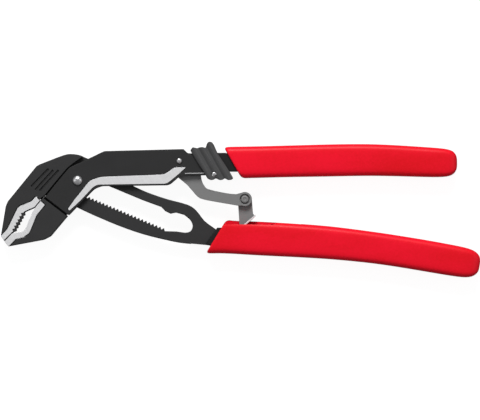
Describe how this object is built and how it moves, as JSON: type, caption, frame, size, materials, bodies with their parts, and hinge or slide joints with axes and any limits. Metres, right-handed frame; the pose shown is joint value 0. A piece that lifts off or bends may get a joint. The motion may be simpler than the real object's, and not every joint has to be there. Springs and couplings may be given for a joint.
{
  "type": "tongue and groove pliers",
  "caption": "Self-adjusting water pump pliers with angled serrated jaws, a toothed slot, a bent control arm with a link, a ribbed slider and red dipped grips.",
  "frame": {"origin": "bottom centre of the closed pliers lying flat", "axes": "+X from the jaws towards the handles, +Y towards the upper handle, +Z through the tool's thickness, upwards"},
  "size_m": [0.2493, 0.0708, 0.013],
  "materials": {
    "blackened_steel": "satin black",
    "ground_steel": "ground and brushed",
    "grey_steel": "dull zinc grey",
    "spring_steel": "drawn wire",
    "black_moulding": "matt",
    "red_dip": "smooth dipped vinyl, half gloss"
  },
  "bodies": {
    "frame": {"frame_plate_front": "blackened_steel", "frame_plate_back": "blackened_steel", "trim_strip_front": "ground_steel", "trim_strip_back": "ground_steel", "lower_jaw": "blackened_steel", "lower_jaw_insert": "ground_steel", "jaw_dowel_1": "spring_steel", "jaw_dowel_2": "spring_steel", "upper_lever": "blackened_steel", "upper_grip": "red_dip", "main_rivet": "ground_steel", "rear_rivet": "ground_steel", "spring_post": "spring_steel", "return_spring": "spring_steel", "detent_ball": "ground_steel", "detent_spring": "spring_steel"},
    "pivot_sleeve": {"pivot_sleeve": "ground_steel", "pawl_spring": "spring_steel"},
    "shift_block": {"shift_block": "spring_steel"},
    "jaw_lever": {"slotted_lever": "blackened_steel", "upper_jaw_insert": "ground_steel", "lower_grip": "red_dip"},
    "arm_bush": {"arm_bush": "ground_steel"},
    "control_arm": {"control_arm": "grey_steel"},
    "elbow_rivet": {"elbow_rivet": "grey_steel"},
    "short_link": {"short_link": "grey_steel"},
    "lock_slider": {"lock_slider": "black_moulding", "lock_pin": "ground_steel"}
  },
  "joints": [
    {"name": "handle_pivot", "type": "hinge", "parent": "frame", "child": "pivot_sleeve", "pos_m": [-0.0846, 0.0154, 0.0065], "axis": [0, 0, -1], "range_deg": [0, 8]},
    {"name": "jaw_slide", "type": "slide", "parent": "pivot_sleeve", "child": "jaw_lever", "axis": [-0.9225, 0.3859, 0], "range_m": [0, 0.028]},
    {"name": "pawl_engage", "type": "slide", "parent": "pivot_sleeve", "child": "shift_block", "axis": [-0.3859, -0.9225, 0], "range_m": [0, 0.0012], "stiffness_N_per_m": 400},
    {"name": "arm_swing", "type": "hinge", "parent": "frame", "child": "arm_bush", "pos_m": [-0.0316, 0.0256, 0.0065], "axis": [0, 0, 1], "range_deg": [0, 5.2]},
    {"name": "arm_tilt", "type": "hinge", "parent": "arm_bush", "child": "control_arm", "pos_m": [-0.0316, 0.0256, 0.0065], "axis": [0, 0, -1], "range_deg": [0, 20.2]},
    {"name": "link_swing", "type": "hinge", "parent": "control_arm", "child": "elbow_rivet", "pos_m": [0.0025, 0.0057, 0.0065], "axis": [0, 0, -1], "range_deg": [0, 61]},
    {"name": "link_tilt", "type": "hinge", "parent": "elbow_rivet", "child": "short_link", "pos_m": [0.0025, 0.0057, 0.0065], "axis": [0, 0, 1], "range_deg": [0, 17.6]},
    {"name": "lock_slide", "type": "slide", "parent": "frame", "child": "lock_slider", "axis": [1, 0, 0], "range_m": [0, 0.004]}
  ],
  "couplings": [
    {"joint": "arm_swing", "follows": "jaw_slide", "rad_per_m": 3.1166},
    {"joint": "arm_tilt", "follows": "handle_pivot", "ratio": 2.5},
    {"joint": "link_swing", "follows": "jaw_slide", "rad_per_m": 37.774},
    {"joint": "link_tilt", "follows": "handle_pivot", "ratio": 2.16}
  ]
}
